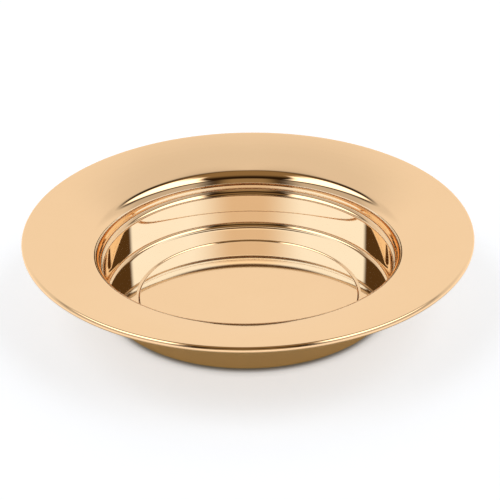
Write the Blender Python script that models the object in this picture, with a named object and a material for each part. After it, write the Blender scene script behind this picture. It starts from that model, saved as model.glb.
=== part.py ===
"""A wide-brimmed communion bread plate with a deep stepped well, in polished sheet metal.

Four pieces, all turned about the vertical axis: the brim with its rolled edge, the wire
inside that edge, the stepped well, and the flat floor plate let into the well's bottom.

Metres, +Z up. The origin lies under the middle of the plate, on the surface it stands on.
Each sheet piece is drawn as a walk along its show face, with straight runs and bends, and
the back face lies one sheet thickness behind it.
"""
import math

import bmesh
import bpy
from mathutils import Vector

# Overall size
PLATE_RADIUS = 0.1270
PLATE_HEIGHT = 0.0429

# Sheet, seams and the number of flats round the axis
SHEET = 0.0008
SEAM_GAP = 0.0003
SEGMENTS = 60

# Floor plate and the rebate that carries it, whose underside the plate stands on
FLOOR_PLATE_RADIUS = 0.0617
FLOOR_EDGE_ROUND = 0.0004
REBATE_WIDTH = 0.0040
REBATE_BEND = 0.0004
REBATE_TILT = math.radians(55.0)

# Ring between the floor plate and the wall
CREST_BEND = 0.0018
CREST_RISE = 0.0005
RING_SLOPE = math.radians(0.7)

# Wall of the well, from its rounded corner up to the stepped mouth
CORNER_BEND = 0.0028
WALL_DRAFT = math.radians(0.3)
STEP_START_RADIUS = 0.0817
STEP_START_HEIGHT = 0.0220
STEP_BEND_LOWER = 0.0019
STEP_BEND_UPPER = 0.0038
STEP_TILT = math.radians(53.0)
COLLAR_DRAFT = math.radians(1.8)

# Socket at the mouth, which takes the flange of the brim and follows the lip from behind
SHOULDER_BEND = 0.0006
SHOULDER_TILT = math.radians(80.0)
SOCKET_BEND = 0.0003
SOCKET_WRAP = math.radians(30.0)

# Brim, lip and rolled edge
LIP_BEND = 0.0080
BRIM_SLOPE_INNER = math.radians(15.2)
BRIM_SLOPE_OUTER = math.radians(9.3)
EDGE_ROLL = 0.0018
EDGE_ROLL_TURN = math.radians(300.0)

# Stiffening wire inside the rolled edge
WIRE_RADIUS = 0.0006

# Finish shared by the show faces, and the plainer wire
GOLD_COLOUR = (0.90, 0.62, 0.36, 1.0)
GOLD_ROUGHNESS = 0.08
WIRE_COLOUR = (0.70, 0.68, 0.64, 1.0)
WIRE_ROUGHNESS = 0.35

UPRIGHT = math.radians(90.0)


class SheetWalk:
    """Stations (radius, height, heading) along the show face of a turned sheet.

    The heading is an angle from the outward direction, turning up towards +Z. The show
    face lies on the left of the walk and the back face on its right.
    """

    def __init__(self, radius, height, heading):
        self.stations = [(radius, height, heading)]

    def here(self):
        return self.stations[-1]

    def run(self, length):
        radius, height, heading = self.here()
        self.stations.append((radius + length * math.cos(heading),
                              height + length * math.sin(heading), heading))

    def bend(self, bend_radius, heading_after, steps):
        """Follow an arc until the walk points along heading_after."""
        radius, height, heading = self.here()
        side = 1.0 if heading_after > heading else -1.0
        for step in range(1, steps + 1):
            angle = heading + (heading_after - heading) * step / steps
            self.stations.append((
                radius + side * bend_radius * (math.sin(angle) - math.sin(heading)),
                height + side * bend_radius * (math.cos(heading) - math.cos(angle)),
                angle))

    def show_face(self):
        return [(radius, height) for radius, height, heading in self.stations]

    def back_face(self):
        """The other face, one sheet thickness behind, walked the other way."""
        return [(radius + SHEET * math.sin(heading), height - SHEET * math.cos(heading))
                for radius, height, heading in reversed(self.stations)]

    def outline(self):
        """Closed outline: along the show face, then back along the other face."""
        return self.show_face() + self.back_face()


def bend_reach(bend_radius, heading, heading_after):
    """Outward and upward distance covered by a bend."""
    side = 1.0 if heading_after > heading else -1.0
    outward = side * bend_radius * (math.sin(heading_after) - math.sin(heading))
    upward = side * bend_radius * (math.cos(heading) - math.cos(heading_after))
    return outward, upward


def metal(name, colour, roughness):
    material = bpy.data.materials.new(name)
    material.use_nodes = True
    shader = material.node_tree.nodes["Principled BSDF"]
    shader.inputs["Base Color"].default_value = colour
    shader.inputs["Metallic"].default_value = 1.0
    shader.inputs["Roughness"].default_value = roughness
    return material


def turn(name, outline, material, closed=True):
    """Spin an outline of (radius, height) points about the axis into a named solid."""
    shape = bmesh.new()
    points = [shape.verts.new((radius, 0.0, height)) for radius, height in outline]
    pairs = list(zip(points, points[1:]))
    if closed:
        pairs.append((points[-1], points[0]))
    edges = [shape.edges.new(pair) for pair in pairs]
    bmesh.ops.spin(shape, geom=points + edges, cent=Vector((0.0, 0.0, 0.0)),
                   axis=Vector((0.0, 0.0, 1.0)), angle=2.0 * math.pi, steps=SEGMENTS)
    bmesh.ops.remove_doubles(shape, verts=shape.verts, dist=0.000002)
    bmesh.ops.recalc_face_normals(shape, faces=shape.faces)
    mesh = bpy.data.meshes.new(name)
    shape.to_mesh(mesh)
    shape.free()
    mesh.shade_smooth()
    mesh.set_sharp_from_angle(angle=math.radians(40.0))
    mesh.materials.append(material)
    solid = bpy.data.objects.new(name, mesh)
    bpy.context.scene.collection.objects.link(solid)
    return solid


def walk_well():
    """Well: rebate, floor ring, rounded corner, wall, step, and socket for the brim.

    Gives the walk, the station at the top of the step, and the height of the flange's seat.
    """
    wall_heading = UPRIGHT - WALL_DRAFT
    collar_heading = UPRIGHT - COLLAR_DRAFT
    ledge_heading = UPRIGHT - SHOULDER_TILT
    rebate_rise = bend_reach(REBATE_BEND, 0.0, REBATE_TILT)[1]
    crest_rise = bend_reach(CREST_BEND, REBATE_TILT, -RING_SLOPE)[1]
    riser = (SHEET + SEAM_GAP + CREST_RISE - rebate_rise - crest_rise) / math.sin(REBATE_TILT)

    walk = SheetWalk(FLOOR_PLATE_RADIUS - REBATE_WIDTH, SHEET, 0.0)
    walk.run(REBATE_WIDTH)
    walk.bend(REBATE_BEND, REBATE_TILT, 2)
    walk.run(riser)
    walk.bend(CREST_BEND, -RING_SLOPE, 4)

    # The ring and the wall are two straight runs, joined by the rounded corner.
    crest_radius, crest_height, ring_heading = walk.here()
    across = STEP_START_RADIUS - crest_radius
    up = STEP_START_HEIGHT - crest_height
    opening = math.sin(wall_heading - ring_heading)
    ring_length = (across * math.sin(wall_heading) - up * math.cos(wall_heading)) / opening
    wall_length = (up * math.cos(ring_heading) - across * math.sin(ring_heading)) / opening
    corner_setback = CORNER_BEND * math.tan((wall_heading - ring_heading) / 2.0)
    walk.run(ring_length - corner_setback)
    walk.bend(CORNER_BEND, wall_heading, 6)
    walk.run(wall_length - corner_setback)
    walk.bend(STEP_BEND_LOWER, UPRIGHT - STEP_TILT, 3)
    walk.bend(STEP_BEND_UPPER, collar_heading, 4)
    step_top = walk.here()

    shoulder_reach = bend_reach(SHOULDER_BEND, collar_heading, ledge_heading)[0]
    socket_reach = bend_reach(SOCKET_BEND, ledge_heading, collar_heading)[0]
    ledge_reach = SHEET + SEAM_GAP - shoulder_reach - socket_reach
    walk.bend(SHOULDER_BEND, ledge_heading, 3)
    walk.run(ledge_reach / math.cos(ledge_heading))
    walk.bend(SOCKET_BEND, collar_heading, 2)
    flange_seat = walk.here()[1]
    wrap_start = (brim_layout(step_top)["lip_start_height"]
                  - (SHEET + SEAM_GAP) * math.sin(COLLAR_DRAFT))
    walk.run((wrap_start - flange_seat) / math.cos(COLLAR_DRAFT))
    walk.bend(LIP_BEND - SHEET - SEAM_GAP, collar_heading - SOCKET_WRAP, 3)
    return walk, step_top, flange_seat


def brim_layout(step_top):
    """Where the lip starts and how wide the brim is, so that it ends at the stated size."""
    collar_heading = UPRIGHT - COLLAR_DRAFT
    roll_start_radius = PLATE_RADIUS - EDGE_ROLL * (1.0 + math.sin(BRIM_SLOPE_OUTER))
    roll_start_height = PLATE_HEIGHT - EDGE_ROLL * (1.0 - math.cos(BRIM_SLOPE_OUTER))
    lip_reach, lip_rise = bend_reach(LIP_BEND, collar_heading, BRIM_SLOPE_INNER)
    rise_per_width = ((math.cos(BRIM_SLOPE_OUTER) - math.cos(BRIM_SLOPE_INNER))
                      / (math.sin(BRIM_SLOPE_INNER) - math.sin(BRIM_SLOPE_OUTER)))
    draft = math.tan(COLLAR_DRAFT)
    width_at_axis_height = roll_start_radius - step_top[0] + step_top[1] * draft - lip_reach
    lip_start_height = ((roll_start_height - lip_rise - rise_per_width * width_at_axis_height)
                        / (1.0 - rise_per_width * draft))
    lip_start_radius = step_top[0] + (lip_start_height - step_top[1]) * draft
    brim_width = width_at_axis_height - lip_start_height * draft
    brim_bend = brim_width / (math.sin(BRIM_SLOPE_INNER) - math.sin(BRIM_SLOPE_OUTER))
    return {"lip_start_height": lip_start_height, "brim_bend": brim_bend,
            "roll_centre": (PLATE_RADIUS - EDGE_ROLL, PLATE_HEIGHT - EDGE_ROLL)}


def walk_brim(step_top, flange_seat):
    """Brim: flange that drops into the socket, lip, shallow dome and rolled edge."""
    layout = brim_layout(step_top)
    flange_radius = step_top[0] + (flange_seat - step_top[1]) * math.tan(COLLAR_DRAFT)
    walk = SheetWalk(flange_radius, flange_seat, UPRIGHT - COLLAR_DRAFT)
    walk.run((layout["lip_start_height"] - flange_seat) / math.cos(COLLAR_DRAFT))
    walk.bend(LIP_BEND, BRIM_SLOPE_INNER, 6)
    walk.bend(layout["brim_bend"], BRIM_SLOPE_OUTER, 3)
    walk.bend(EDGE_ROLL, BRIM_SLOPE_OUTER - EDGE_ROLL_TURN, 11)
    return walk


def floor_outline():
    """Half section of the flat floor plate, from the axis out and back to the axis."""
    bottom = SHEET + SEAM_GAP
    top = bottom + SHEET
    edge = FLOOR_PLATE_RADIUS
    corner = edge - FLOOR_EDGE_ROUND
    outline = [(0.0, top), (corner, top)]
    for step in (1, 2):
        angle = math.radians(45.0) * step
        outline.append((corner + FLOOR_EDGE_ROUND * math.sin(angle),
                        top - FLOOR_EDGE_ROUND * (1.0 - math.cos(angle))))
    return outline + [(edge, bottom), (0.0, bottom)]


def wire_outline(centre, sides=8):
    """Round section of the stiffening wire."""
    points = []
    for side in range(sides):
        angle = -2.0 * math.pi * (side + 0.5) / sides
        points.append((centre[0] + WIRE_RADIUS * math.cos(angle),
                       centre[1] + WIRE_RADIUS * math.sin(angle)))
    return points


def build():
    for leftover in list(bpy.data.objects):
        bpy.data.objects.remove(leftover, do_unlink=True)

    well, step_top, flange_seat = walk_well()
    brim = walk_brim(step_top, flange_seat)
    turn("brim", brim.outline(), metal("brim_gold", GOLD_COLOUR, GOLD_ROUGHNESS))
    turn("edge_wire", wire_outline(brim_layout(step_top)["roll_centre"]),
         metal("edge_wire_steel", WIRE_COLOUR, WIRE_ROUGHNESS))
    turn("well", well.outline(), metal("well_gold", GOLD_COLOUR, GOLD_ROUGHNESS))
    turn("floor_plate", floor_outline(),
         metal("floor_gold", GOLD_COLOUR, GOLD_ROUGHNESS), closed=False)


build()
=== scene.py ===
# %% [markdown]
# # A gold bread plate with a deep stepped well
#
# The object is a communion bread plate: a wide brim, a rounded lip, a well with an S-shaped step near its
# mouth, an almost level ring inside the wall, and a flat floor. All of it is thin polished sheet metal,
# turned about one upright axis. A polished plate has almost no colour of its own to look at. What the eye sees
# is the room in it, so this lesson spends its care on three things: an exact section, a clean polished finish
# and a studio that is worth reflecting.

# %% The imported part
import math

import bmesh
import bpy
from mathutils import Matrix, Vector


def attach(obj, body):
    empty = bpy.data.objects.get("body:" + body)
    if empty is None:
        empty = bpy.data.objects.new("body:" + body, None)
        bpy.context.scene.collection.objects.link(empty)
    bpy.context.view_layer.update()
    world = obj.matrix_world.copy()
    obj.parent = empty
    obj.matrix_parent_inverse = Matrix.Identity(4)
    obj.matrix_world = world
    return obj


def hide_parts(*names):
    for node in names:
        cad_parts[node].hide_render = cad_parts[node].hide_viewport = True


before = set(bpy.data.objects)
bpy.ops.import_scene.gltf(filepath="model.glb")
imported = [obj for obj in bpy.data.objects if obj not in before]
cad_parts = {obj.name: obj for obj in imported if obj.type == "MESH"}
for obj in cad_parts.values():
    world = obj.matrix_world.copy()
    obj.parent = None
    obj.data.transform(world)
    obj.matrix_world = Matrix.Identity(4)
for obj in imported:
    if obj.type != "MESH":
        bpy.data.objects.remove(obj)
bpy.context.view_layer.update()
print("nodes:", sorted(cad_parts))

# %% [markdown]
# ## The section of the plate
#
# A turned piece is fully described by its section. Sheet metal has a show face and a back face that lie one
# sheet thickness apart, so each section is drawn as a walk along the show face: straight runs and round bends,
# in the order in which a metal spinner forms them. Every bend is cut into small steps. A mirror finish betrays
# any kink, so each run also gets a support point close to both of its ends, which keeps the smooth shading of
# the bend from creeping out over the flat.

# %% Sizes in metres
PLATE_RADIUS = 0.1270
PLATE_HEIGHT = 0.0429
SHEET = 0.0008
SEAM_GAP = 0.0003
HAIRLINE = 0.00005
EDGE_STEPS = 8
FLATS = 240

FLOOR_PLATE_RADIUS = 0.0617
REBATE_WIDTH = 0.0040
REBATE_BEND = 0.0004
REBATE_TILT = math.radians(55.0)
CREST_BEND = 0.0018
CREST_RISE = 0.0005
RING_SLOPE = math.radians(0.7)
CORNER_BEND = 0.0028
WALL_DRAFT = math.radians(0.3)
STEP_START_RADIUS = 0.0817
STEP_START_HEIGHT = 0.0220
STEP_BEND_LOWER = 0.0019
STEP_BEND_UPPER = 0.0038
STEP_TILT = math.radians(53.0)
COLLAR_DRAFT = math.radians(1.8)
LIP_BEND = 0.0080
BRIM_SLOPE_INNER = math.radians(15.2)
BRIM_SLOPE_OUTER = math.radians(9.3)
EDGE_ROLL = 0.0018
EDGE_ROLL_TURN = math.radians(300.0)
UPRIGHT = math.radians(90.0)


class SheetWalk:
    """Points (radius, height, heading) along one face of a turned sheet."""

    def __init__(self, radius, height, heading, support=0.00012, turn_step=math.radians(3.0)):
        self.points = [(radius, height, heading)]
        self.support = support
        self.turn_step = turn_step

    def here(self):
        return self.points[-1]

    def run(self, length):
        radius, height, heading = self.here()
        stops = [length]
        if length > 3.0 * self.support:
            stops = [self.support, length - self.support, length]
        for stop in stops:
            self.points.append((radius + stop * math.cos(heading),
                                height + stop * math.sin(heading), heading))
        return self

    def bend(self, bend_radius, heading_after, steps=None):
        radius, height, heading = self.here()
        side = 1.0 if heading_after > heading else -1.0
        steps = steps or max(3, math.ceil(abs(heading_after - heading) / self.turn_step))
        for step in range(1, steps + 1):
            angle = heading + (heading_after - heading) * step / steps
            self.points.append((radius + side * bend_radius * (math.sin(angle) - math.sin(heading)),
                                height + side * bend_radius * (math.cos(heading) - math.cos(angle)), angle))
        return self


def reach(bend_radius, heading, heading_after):
    """Outward and upward distance that a bend covers."""
    side = 1.0 if heading_after > heading else -1.0
    return (side * bend_radius * (math.sin(heading_after) - math.sin(heading)),
            side * bend_radius * (math.cos(heading) - math.cos(heading_after)))


def round_edge(station, turn_from):
    """Points round the half-round free edge of the sheet at one end of a walk."""
    radius, height, heading = station
    half = SHEET / 2.0
    middle = (radius + half * math.sin(heading), height - half * math.cos(heading))
    edge = []
    for step in range(1, EDGE_STEPS):
        angle = heading + UPRIGHT + turn_from - math.pi * step / EDGE_STEPS
        edge.append((middle[0] + half * math.cos(angle), middle[1] + half * math.sin(angle)))
    return edge


def sheet_outline(walk):
    """Closed outline of a sheet: the show face, a free edge, the back face and the other edge."""
    outline = [(radius, height) for radius, height, heading in walk.points]
    outline += round_edge(walk.points[-1], 0.0)
    for radius, height, heading in reversed(walk.points):
        outline.append((radius + SHEET * math.sin(heading), height - SHEET * math.cos(heading)))
    outline += round_edge(walk.points[0], math.pi)
    outline.append(outline[0])
    return outline


print("sheet", SHEET * 1000, "mm, flats round the axis", FLATS)

# %% [markdown]
# ## Turning a section with Geometry Nodes
#
# Turning is a rule, so Geometry Nodes can do it. A grid has one row for each point of the section and one
# column for each step round the axis. The tree looks up the section point for the row, turns it by the angle
# for the column, and merges the two edges of the grid where they meet. The number of steps is a named input.

# %% The turning tree
WELD_DISTANCE = 0.000002


def turning_tree():
    tree = bpy.data.node_groups.new("turn_section", "GeometryNodeTree")
    tree.interface.new_socket("Section", in_out="INPUT", socket_type="NodeSocketGeometry")
    flats = tree.interface.new_socket("Flats", in_out="INPUT", socket_type="NodeSocketInt")
    finish = tree.interface.new_socket("Finish", in_out="INPUT", socket_type="NodeSocketMaterial")
    tree.interface.new_socket("Turned piece", in_out="OUTPUT", socket_type="NodeSocketGeometry")
    nodes, links = tree.nodes, tree.links

    def node(kind, **settings):
        made = nodes.new(kind)
        for name, value in settings.items():
            setattr(made, name, value)
        return made

    def maths(operation, first, second):
        made = node("ShaderNodeMath", operation=operation)
        for socket, value in zip(made.inputs, (first, second)):
            if isinstance(value, (int, float)):
                socket.default_value = value
            else:
                links.new(value, socket)
        return made.outputs[0]

    start = node("NodeGroupInput")
    section, steps = start.outputs["Section"], start.outputs["Flats"]
    count = node("GeometryNodeAttributeDomainSize", component="MESH")
    links.new(section, count.inputs["Geometry"])
    columns = maths("ADD", steps, 1)
    grid = node("GeometryNodeMeshGrid")
    links.new(count.outputs["Point Count"], grid.inputs["Vertices X"])
    links.new(columns, grid.inputs["Vertices Y"])
    index = node("GeometryNodeInputIndex").outputs[0]
    row = maths("FLOOR", maths("DIVIDE", maths("ADD", index, 0.5), columns), 0)
    column = maths("SUBTRACT", index, maths("MULTIPLY", row, columns))
    place = node("GeometryNodeInputPosition")
    lookup = node("GeometryNodeSampleIndex", data_type="FLOAT_VECTOR", domain="POINT")
    links.new(section, lookup.inputs["Geometry"])
    links.new(place.outputs[0], lookup.inputs["Value"])
    links.new(row, lookup.inputs["Index"])
    parts = node("ShaderNodeSeparateXYZ")
    links.new(lookup.outputs["Value"], parts.inputs[0])
    angle = maths("MULTIPLY", maths("DIVIDE", column, steps), 2.0 * math.pi)
    turned = node("ShaderNodeCombineXYZ")
    links.new(maths("MULTIPLY", parts.outputs["X"], maths("COSINE", angle, 0)), turned.inputs["X"])
    links.new(maths("MULTIPLY", parts.outputs["X"], maths("SINE", angle, 0)), turned.inputs["Y"])
    links.new(parts.outputs["Z"], turned.inputs["Z"])
    move = node("GeometryNodeSetPosition")
    links.new(grid.outputs["Mesh"], move.inputs["Geometry"])
    links.new(turned.outputs[0], move.inputs["Position"])
    weld = node("GeometryNodeMergeByDistance")
    weld.inputs["Distance"].default_value = WELD_DISTANCE
    links.new(move.outputs[0], weld.inputs["Geometry"])
    smooth = node("GeometryNodeSetShadeSmooth")
    links.new(weld.outputs[0], smooth.inputs["Geometry"])
    real = node("GeometryNodeRealizeInstances")
    links.new(smooth.outputs[0], real.inputs[0])
    dress = node("GeometryNodeSetMaterial")
    links.new(real.outputs[0], dress.inputs["Geometry"])
    links.new(start.outputs["Finish"], dress.inputs["Material"])
    end = node("NodeGroupOutput")
    links.new(dress.outputs[0], end.inputs[0])
    return tree, flats.identifier, finish.identifier


TURNING, FLATS_INPUT, FINISH_INPUT = turning_tree()


def turn_piece(name, outline, finish, cad_node):
    """Turns an outline into a plain mesh piece that stands for a CAD node."""
    wire = bpy.data.meshes.new(name + "_section")
    edges = [(point, point + 1) for point in range(len(outline) - 1)]
    wire.from_pydata([(radius, 0.0, height) for radius, height in outline], edges, [])
    maker = bpy.data.objects.new(name + "_maker", wire)
    bpy.context.scene.collection.objects.link(maker)
    turning = maker.modifiers.new("turning", "NODES")
    turning.node_group = TURNING
    turning[FLATS_INPUT] = FLATS
    turning[FINISH_INPUT] = finish
    graph = bpy.context.evaluated_depsgraph_get()
    mesh = bpy.data.meshes.new_from_object(maker.evaluated_get(graph), depsgraph=graph)
    bpy.data.objects.remove(maker, do_unlink=True)
    shell = bmesh.new()
    shell.from_mesh(mesh)
    bmesh.ops.recalc_face_normals(shell, faces=shell.faces)
    shell.to_mesh(mesh)
    shell.free()
    mesh.name = name
    mesh.materials.clear()
    mesh.materials.append(finish)
    mesh.shade_smooth()
    piece = bpy.data.objects.new(name, mesh)
    bpy.context.scene.collection.objects.link(piece)
    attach(piece, "root")
    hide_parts(cad_node)
    print(name, "faces:", len(mesh.polygons), "section points:", len(outline))
    return piece


# %% [markdown]
# ## The gold finish
#
# The metal is polished almost to a mirror. Two quiet marks of its making remain. Spinning leaves very faint
# rings on the wide brim, which show as soft ripples where a reflection changes tone. Handling and buffing leave
# a slight unevenness in how sharp the mirror is. Both follow the distance from the axis or fine noise in object
# space, so they stay put from every side. A shader's metal turns white where it is seen at a grazing angle.
# Gold stays warm there, so the tint of the specular edge is warm too.

# %% Polished gold
GRAZING_TINT = (1.0, 0.92, 0.80)
RING_SCALE = 170.0
CLOUD_SCALE = 38.0
GLOSS_SPREAD = 0.3
CLOUD_SHADE = (0.99, 0.985, 0.975)


def polished_metal(name, colour, roughness, ring_height):
    finish = bpy.data.materials.new(name)
    finish.use_nodes = True
    nodes, links = finish.node_tree.nodes, finish.node_tree.links
    shader = nodes["Principled BSDF"]
    shader.inputs["Metallic"].default_value = 1.0
    shader.inputs["Specular Tint"].default_value = (*GRAZING_TINT, 1.0)
    place = nodes.new("ShaderNodeTexCoord")
    split = nodes.new("ShaderNodeSeparateXYZ")
    links.new(place.outputs["Object"], split.inputs[0])
    flat = nodes.new("ShaderNodeCombineXYZ")
    links.new(split.outputs["X"], flat.inputs["X"])
    links.new(split.outputs["Y"], flat.inputs["Y"])
    distance = nodes.new("ShaderNodeVectorMath")
    distance.operation = "LENGTH"
    links.new(flat.outputs[0], distance.inputs[0])

    rings = nodes.new("ShaderNodeTexNoise")
    rings.noise_dimensions = "1D"
    rings.inputs["Scale"].default_value = RING_SCALE
    rings.inputs["Detail"].default_value = 2.0
    links.new(distance.outputs["Value"], rings.inputs["W"])
    relief = nodes.new("ShaderNodeBump")
    relief.inputs["Strength"].default_value = 1.0
    relief.inputs["Distance"].default_value = ring_height
    links.new(rings.outputs["Fac"], relief.inputs["Height"])
    links.new(relief.outputs["Normal"], shader.inputs["Normal"])

    cloud = nodes.new("ShaderNodeTexNoise")
    cloud.inputs["Scale"].default_value = CLOUD_SCALE
    cloud.inputs["Detail"].default_value = 4.0
    links.new(place.outputs["Object"], cloud.inputs["Vector"])
    gloss = nodes.new("ShaderNodeMapRange")
    gloss.inputs["To Min"].default_value = roughness * (1.0 - GLOSS_SPREAD)
    gloss.inputs["To Max"].default_value = roughness * (1.0 + GLOSS_SPREAD)
    links.new(cloud.outputs["Fac"], gloss.inputs["Value"])
    links.new(gloss.outputs["Result"], shader.inputs["Roughness"])

    tone = nodes.new("ShaderNodeValToRGB")
    tone.color_ramp.elements[0].position = 0.3
    tone.color_ramp.elements[1].position = 0.7
    tone.color_ramp.elements[0].color = (*[c * shade for c, shade in zip(colour, CLOUD_SHADE)], 1.0)
    tone.color_ramp.elements[1].color = (*colour, 1.0)
    links.new(cloud.outputs["Fac"], tone.inputs["Fac"])
    links.new(tone.outputs["Color"], shader.inputs["Base Color"])
    return finish


GOLD = (0.920, 0.635, 0.372)
POLISH = 0.04
BRIM_RING_HEIGHT = 0.000020
brim_gold = polished_metal("brim_gold", GOLD, POLISH, BRIM_RING_HEIGHT)
well_gold = polished_metal("well_gold", GOLD, POLISH, 0.0)
floor_gold = polished_metal("floor_gold", GOLD, POLISH, 0.0)
print("gold, linear:", GOLD)

# %% [markdown]
# ## The well
#
# The well starts under the floor plate with a narrow rebate, rises to a soft crest and runs out almost level to
# the rounded corner. From there the wall stands nearly upright, swings through the S-shaped step and ends in a
# socket that follows the brim's lip from behind. The ring and the wall are two straight runs. Where they would
# meet follows from the crest and from the place where the step starts, and the corner bend is fitted between.

# %% Well
wall_heading = UPRIGHT - WALL_DRAFT
collar_heading = UPRIGHT - COLLAR_DRAFT
FLOOR_HEIGHT = 2.0 * SHEET + SEAM_GAP
rebate_rise = reach(REBATE_BEND, 0.0, REBATE_TILT)[1]
crest_rise = reach(CREST_BEND, REBATE_TILT, -RING_SLOPE)[1]
riser = (FLOOR_HEIGHT - SHEET + CREST_RISE - rebate_rise - crest_rise) / math.sin(REBATE_TILT)
well = SheetWalk(FLOOR_PLATE_RADIUS - REBATE_WIDTH, SHEET, 0.0)
well.run(REBATE_WIDTH).bend(REBATE_BEND, REBATE_TILT).run(riser).bend(CREST_BEND, -RING_SLOPE)

crest_radius, crest_height, ring_heading = well.here()
across, up = STEP_START_RADIUS - crest_radius, STEP_START_HEIGHT - crest_height
opening = math.sin(wall_heading - ring_heading)
ring_length = (across * math.sin(wall_heading) - up * math.cos(wall_heading)) / opening
wall_length = (up * math.cos(ring_heading) - across * math.sin(ring_heading)) / opening
setback = CORNER_BEND * math.tan((wall_heading - ring_heading) / 2.0)
well.run(ring_length - setback).bend(CORNER_BEND, wall_heading).run(wall_length - setback)
well.bend(STEP_BEND_LOWER, UPRIGHT - STEP_TILT).bend(STEP_BEND_UPPER, collar_heading)
step_top = well.here()
print("step top at mm:", [round(1000 * v, 2) for v in step_top[:2]])

# %% [markdown]
# ## The brim
#
# The flange drops into the socket, the lip rolls over to the brim, and the brim rises gently in a very shallow
# dome to the rolled edge. The height and the radius of the plate are fixed, so the place where the lip starts
# follows from them.

# %% Brim
roll_radius = PLATE_RADIUS - EDGE_ROLL * (1.0 + math.sin(BRIM_SLOPE_OUTER))
roll_height = PLATE_HEIGHT - EDGE_ROLL * (1.0 - math.cos(BRIM_SLOPE_OUTER))
lip_reach, lip_rise = reach(LIP_BEND, collar_heading, BRIM_SLOPE_INNER)
slope_span = math.sin(BRIM_SLOPE_INNER) - math.sin(BRIM_SLOPE_OUTER)
rise_per_width = (math.cos(BRIM_SLOPE_OUTER) - math.cos(BRIM_SLOPE_INNER)) / slope_span
lean = math.tan(COLLAR_DRAFT)
width_from_axis = roll_radius - step_top[0] + step_top[1] * lean - lip_reach
lip_start = (roll_height - lip_rise - rise_per_width * width_from_axis) / (1.0 - rise_per_width * lean)
brim_bend = (width_from_axis - lip_start * lean) / slope_span

BRIM_STEPS = 40
ROLL_STEPS = 50
SHOULDER_BEND = 0.00025
SHOULDER_HEADING = math.radians(10.0)
SOCKET_BEND = 0.0002
SOCKET_WRAP = math.radians(30.0)
ledge = SHEET + HAIRLINE - reach(SHOULDER_BEND, collar_heading, SHOULDER_HEADING)[0]
ledge -= reach(SOCKET_BEND, SHOULDER_HEADING, collar_heading)[0]
well.bend(SHOULDER_BEND, SHOULDER_HEADING).run(ledge / math.cos(SHOULDER_HEADING))
flange_seat = well.here()[1] + HAIRLINE
well.bend(SOCKET_BEND, collar_heading)
wrap_start = lip_start - (SHEET + HAIRLINE) * math.sin(COLLAR_DRAFT)
well.run((wrap_start - well.here()[1]) / math.cos(COLLAR_DRAFT))
well.bend(LIP_BEND - SHEET - HAIRLINE, collar_heading - SOCKET_WRAP)
brim = SheetWalk(step_top[0] + (flange_seat - step_top[1]) * lean, flange_seat, collar_heading)
brim.run((lip_start - flange_seat) / math.cos(COLLAR_DRAFT))
brim.bend(LIP_BEND, BRIM_SLOPE_INNER).bend(brim_bend, BRIM_SLOPE_OUTER, BRIM_STEPS)
brim.bend(EDGE_ROLL, BRIM_SLOPE_OUTER - EDGE_ROLL_TURN, ROLL_STEPS)
turn_piece("well_polished", sheet_outline(well), well_gold, "well")
turn_piece("brim_polished", sheet_outline(brim), brim_gold, "brim")
print("lip starts at mm:", round(1000 * lip_start, 2), "flange seat", round(1000 * flange_seat, 2))

# %% [markdown]
# ## The floor
#
# The floor plate is a flat disc with a rounded edge. It lies in the well's rebate, a little lower than the crest
# beside it, and the gap between the two leaves the fine dark ring that runs round the floor.

# %% Floor plate
EDGE_ROUND = 0.0002
EDGE_REACH = 0.0005
plate = SheetWalk(0.0, FLOOR_HEIGHT, 0.0)
plate.run(FLOOR_PLATE_RADIUS + EDGE_REACH - EDGE_ROUND).bend(EDGE_ROUND, -UPRIGHT, EDGE_STEPS)
plate.run(SHEET - 2.0 * EDGE_ROUND).bend(EDGE_ROUND, -2.0 * UPRIGHT, EDGE_STEPS)
plate.run(FLOOR_PLATE_RADIUS + EDGE_REACH - EDGE_ROUND)
plate_outline = [(max(radius, 0.0), height) for radius, height, heading in plate.points]
turn_piece("floor_plate_polished", plate_outline, floor_gold, "floor_plate")
print("floor plate top at mm:", round(1000 * FLOOR_HEIGHT, 2))

# %% [markdown]
# ## The wire inside the edge
#
# A thin steel wire lies in the rolled edge and keeps it round. It is hidden, but it is part of the plate.

# %% Edge wire
WIRE_RADIUS = 0.0006
WIRE_SIDES = 16
STEEL = (0.62, 0.60, 0.57)
DRAWN = 0.35
wire_steel = polished_metal("edge_wire_steel", STEEL, DRAWN, 0.0)
wire_outline = []
for side in range(WIRE_SIDES + 1):
    angle = -2.0 * math.pi * side / WIRE_SIDES
    wire_outline.append((PLATE_RADIUS - EDGE_ROLL + WIRE_RADIUS * math.cos(angle),
                         PLATE_HEIGHT - EDGE_ROLL + WIRE_RADIUS * math.sin(angle)))
turn_piece("edge_wire_drawn", wire_outline, wire_steel, "edge_wire")

# %% [markdown]
# ## The studio
#
# The gold shows the room, so the room is painted on the world by direction: how far round from the camera, and
# how high. Behind the plate hangs a white wall that the brim and the floor mirror. Soft boxes stand to the left
# and to the right. The side of the camera is dim, and so is the ceiling, which gives the lip and the step their
# dark lines. Light that has bounced more than once on the metal comes from a second set of panels, brighter and
# cooler, because each bounce on gold would otherwise deepen the colour. The ray depth at the world counts one
# more than the bounces.

# %% World
AFTER_SECOND_BOUNCE = 2.5
WALL_TOP_FALL = 0.4
BOX_EDGE_LEAN = 0.9


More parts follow.
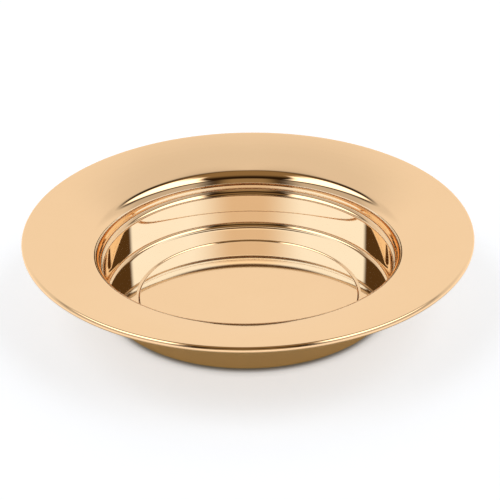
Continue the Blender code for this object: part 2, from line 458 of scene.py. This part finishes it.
def build_world():
    world = bpy.data.worlds.new("studio")
    world.use_nodes = True
    nodes, links = world.node_tree.nodes, world.node_tree.links
    nodes.clear()

    def maths(operation, first, second=0.0):
        made = nodes.new("ShaderNodeMath")
        made.operation = operation
        for socket, value in zip(made.inputs, (first, second)):
            if isinstance(value, (int, float)):
                socket.default_value = value
            else:
                links.new(value, socket)
        return made.outputs[0]

    def rise(value, low, high):
        """0 below low, 1 above high, with a soft step between."""
        made = nodes.new("ShaderNodeMapRange")
        made.interpolation_type = "SMOOTHSTEP"
        made.inputs["From Min"].default_value = low
        made.inputs["From Max"].default_value = high
        links.new(value, made.inputs["Value"])
        return made.outputs["Result"]

    def fall(value, low, high):
        return maths("SUBTRACT", 1.0, rise(value, low, high))

    def product(*masks):
        total = masks[0]
        for mask in masks[1:]:
            total = maths("MULTIPLY", total, mask)
        return total

    def add_up(panels, base):
        total = None
        for mask, colour in panels:
            tint = nodes.new("ShaderNodeVectorMath")
            tint.operation = "MULTIPLY_ADD"
            links.new(mask, tint.inputs[0])
            tint.inputs[1].default_value = colour
            if total is None:
                tint.inputs[2].default_value = base
            else:
                links.new(total, tint.inputs[2])
            total = tint.outputs[0]
        return total

    place = nodes.new("ShaderNodeTexCoord")
    split = nodes.new("ShaderNodeSeparateXYZ")
    links.new(place.outputs["Generated"], split.inputs[0])
    turn = maths("ARCTAN2", split.outputs["X"], maths("MULTIPLY", split.outputs["Y"], -1.0))
    around = maths("MULTIPLY", maths("ABSOLUTE", turn), 180.0 / math.pi)
    above = maths("MULTIPLY", maths("ARCSINE", split.outputs["Z"]), 180.0 / math.pi)

    behind = maths("SUBTRACT", 180.0, around)
    wall_top = maths("ADD", above, maths("MULTIPLY", behind, WALL_TOP_FALL))
    box_edge = maths("SUBTRACT", around, maths("MULTIPLY", above, BOX_EDGE_LEAN))
    back_half = rise(around, 90.0, 125.0)
    white_wall = product(back_half, fall(wall_top, 56.0, 66.0))
    wall_middle = product(back_half, fall(wall_top, 38.0, 54.0), rise(above, -40.0, 8.0))
    soft_boxes = product(rise(box_edge, -9.0, 5.0), fall(around, 118.0, 134.0),
                         rise(above, 38.0, 46.0), fall(above, 64.0, 76.0))
    low_sides = product(rise(around, 22.0, 46.0), fall(around, 95.0, 125.0), fall(above, 30.0, 38.0))
    camera_side = product(fall(around, 10.0, 30.0), fall(above, 34.0, 44.0))
    ceiling = rise(above, 52.0, 76.0)
    first = add_up([
        (white_wall, (0.80, 0.80, 0.80)),
        (wall_middle, (0.16, 0.16, 0.16)),
        (soft_boxes, (2.4, 2.4, 2.4)),
        (low_sides, (0.6, 0.6, 0.6)),
        (camera_side, (0.32, 0.25, 0.15)),
        (ceiling, (0.26, 0.19, 0.10)),
    ], base=(0.025, 0.013, 0.005))

    front = fall(around, 10.0, 50.0)
    front_light = product(front, rise(above, 4.0, 22.0), fall(above, 46.0, 74.0))
    front_middle = product(front, rise(above, 31.0, 38.0), fall(above, 50.0, 68.0))
    side_light = product(rise(around, 10.0, 50.0), fall(around, 108.0, 114.0),
                         rise(above, 2.0, 22.0), fall(above, 52.0, 72.0))
    back_light = product(rise(around, 112.0, 130.0), rise(above, 36.0, 52.0), fall(above, 60.0, 75.0))
    later = add_up([
        (front_light, (0.80, 1.06, 1.60)),
        (front_middle, (0.40, 0.62, 1.00)),
        (side_light, (1.10, 1.90, 3.80)),
        (back_light, (0.7, 0.85, 1.1)),
    ], base=(0.10, 0.080, 0.045))

    path = nodes.new("ShaderNodeLightPath")
    deep = maths("GREATER_THAN", path.outputs["Ray Depth"], AFTER_SECOND_BOUNCE)
    only_metal = maths("LESS_THAN", path.outputs["Diffuse Depth"], 0.5)
    choose = nodes.new("ShaderNodeMix")
    choose.data_type = "RGBA"
    links.new(maths("MULTIPLY", deep, only_metal), choose.inputs[0])
    links.new(first, choose.inputs[6])
    links.new(later, choose.inputs[7])
    light = nodes.new("ShaderNodeBackground")
    links.new(choose.outputs[2], light.inputs["Color"])
    white = nodes.new("ShaderNodeBackground")
    white.inputs["Color"].default_value = (1.0, 1.0, 1.0, 1.0)
    mix = nodes.new("ShaderNodeMixShader")
    links.new(path.outputs["Is Camera Ray"], mix.inputs[0])
    links.new(light.outputs[0], mix.inputs[1])
    links.new(white.outputs[0], mix.inputs[2])
    end = nodes.new("ShaderNodeOutputWorld")
    links.new(mix.outputs[0], end.inputs["Surface"])
    return world


bpy.context.scene.world = build_world()
print("studio painted on the world")

# %% [markdown]
# ## The paper
#
# The plate stands on plain white paper. Part of the paper's white is plain diffuse colour, which takes the
# shadow of the plate. The rest is a fixed white glow for the camera, with a painted shadow close under the
# plate, where ambient occlusion dims the glow. The metal sees a warmer white glow in the open and a painted
# shade, a dim tone, near the plate.

# %% Floor
PAPER_COLOUR = (0.478, 0.520, 0.580)
PAPER_WHITE = 0.635
PAPER_IN_METAL = (0.76, 0.73, 0.70)
# painted shade: the dim tone that the metal sees on the paper close under the plate
PAINTED_SHADE_IN_METAL = (0.125, 0.107, 0.043)
# ambient occlusion reach and soft step of the painted shadow in the camera's view of the paper
CAMERA_PAINTED_SHADOW_REACH = (0.012, 0.05, 0.75)
# ambient occlusion reach and soft step of the painted shade in the metal's view of the paper
METAL_PAINTED_SHADE_REACH = (0.12, 0.55, 0.95)
PAINTED_SHADE_SAMPLES = 8
paper = bpy.data.materials.new("floor_paper")
paper.use_nodes = True
nodes, links = paper.node_tree.nodes, paper.node_tree.links
nodes.clear()


def clear_of_painted_shade(distance, low, high):
    """Mask of the painted shade: 0 where the plate covers the paper closely, 1 in the open."""
    occlusion_probe = nodes.new("ShaderNodeAmbientOcclusion")
    occlusion_probe.samples = PAINTED_SHADE_SAMPLES
    occlusion_probe.inputs["Distance"].default_value = distance
    soft = nodes.new("ShaderNodeMapRange")
    soft.interpolation_type = "SMOOTHSTEP"
    soft.inputs["From Min"].default_value = low
    soft.inputs["From Max"].default_value = high
    links.new(occlusion_probe.outputs["AO"], soft.inputs["Value"])
    return soft.outputs["Result"]


path = nodes.new("ShaderNodeLightPath")
matt = nodes.new("ShaderNodeBsdfDiffuse")
matt.inputs["Color"].default_value = (*PAPER_COLOUR, 1.0)
for_camera = nodes.new("ShaderNodeMix")
for_camera.data_type = "RGBA"
for_camera.inputs[6].default_value = (0.0, 0.0, 0.0, 1.0)
for_camera.inputs[7].default_value = (PAPER_WHITE, PAPER_WHITE, PAPER_WHITE, 1.0)
# the camera's glow: plain white in the open, a painted shadow close under the plate
links.new(clear_of_painted_shade(*CAMERA_PAINTED_SHADOW_REACH), for_camera.inputs[0])
for_metal = nodes.new("ShaderNodeMix")
for_metal.data_type = "RGBA"
for_metal.inputs[6].default_value = (*PAINTED_SHADE_IN_METAL, 1.0)
for_metal.inputs[7].default_value = (*PAPER_IN_METAL, 1.0)
# the metal's view of the paper: warm white in the open, painted shade near the plate
links.new(clear_of_painted_shade(*METAL_PAINTED_SHADE_REACH), for_metal.inputs[0])
shown = nodes.new("ShaderNodeMix")
shown.data_type = "RGBA"
links.new(path.outputs["Is Camera Ray"], shown.inputs[0])
links.new(for_metal.outputs[2], shown.inputs[6])
links.new(for_camera.outputs[2], shown.inputs[7])
glow = nodes.new("ShaderNodeEmission")
links.new(shown.outputs[2], glow.inputs["Color"])
seen = nodes.new("ShaderNodeMath")
seen.operation = "MAXIMUM"
links.new(path.outputs["Is Camera Ray"], seen.inputs[0])
links.new(path.outputs["Is Glossy Ray"], seen.inputs[1])
links.new(seen.outputs[0], glow.inputs["Strength"])
both = nodes.new("ShaderNodeAddShader")
links.new(matt.outputs[0], both.inputs[0])
links.new(glow.outputs[0], both.inputs[1])
end = nodes.new("ShaderNodeOutputMaterial")
links.new(both.outputs[0], end.inputs["Surface"])

floor_mesh = bpy.data.meshes.new("paper_floor")
PAPER_HALF_WIDTH = 12.0
PAPER_DROP = 0.00005
corners = [(x * PAPER_HALF_WIDTH, y * PAPER_HALF_WIDTH, -PAPER_DROP)
           for x, y in ((-1, -1), (1, -1), (1, 1), (-1, 1))]
floor_mesh.from_pydata(corners, [], [(0, 1, 2, 3)])
floor_mesh.materials.append(paper)
floor = bpy.data.objects.new("paper_floor", floor_mesh)
bpy.context.scene.collection.objects.link(floor)
print("floor of white paper,", 2 * PAPER_HALF_WIDTH, "m wide")

# %% [markdown]
# ## The camera
#
# The photograph was taken with a long lens from about 28 degrees above the table, five plate widths away. The
# camera is turned a little about its own axis, because the plate leans by less than a degree in the picture.

# %% Camera
ELEVATION = math.radians(28.44)
DISTANCE = 1.2573
SENSOR = 36.0
FRAME_PIXELS = 500.0
FOCAL_PIXELS = 2237.2
AIM_PIXEL = (247.73, 230.34)
ROLL = math.radians(0.84)
lens = bpy.data.cameras.new("camera")
lens.sensor_width = SENSOR
lens.lens = SENSOR * FOCAL_PIXELS / FRAME_PIXELS
lens.clip_end = 100.0
camera = bpy.data.objects.new("camera", lens)
bpy.context.scene.collection.objects.link(camera)
back = Vector((0.0, -math.cos(ELEVATION), math.sin(ELEVATION)))
target = Vector((0.0, 0.0, PLATE_HEIGHT))
camera.location = target + back * DISTANCE
camera.rotation_mode = "QUATERNION"
level = (-back).to_track_quat("-Z", "Y")
camera.rotation_quaternion = level @ Matrix.Rotation(-ROLL, 3, "Z").to_quaternion()
lens.shift_x = -(AIM_PIXEL[0] - FRAME_PIXELS / 2.0) / FRAME_PIXELS
lens.shift_y = (AIM_PIXEL[1] - FRAME_PIXELS / 2.0) / FRAME_PIXELS
bpy.context.scene.camera = camera
bpy.context.scene.view_settings.view_transform = "Standard"
print("lens", round(lens.lens, 1), "mm")
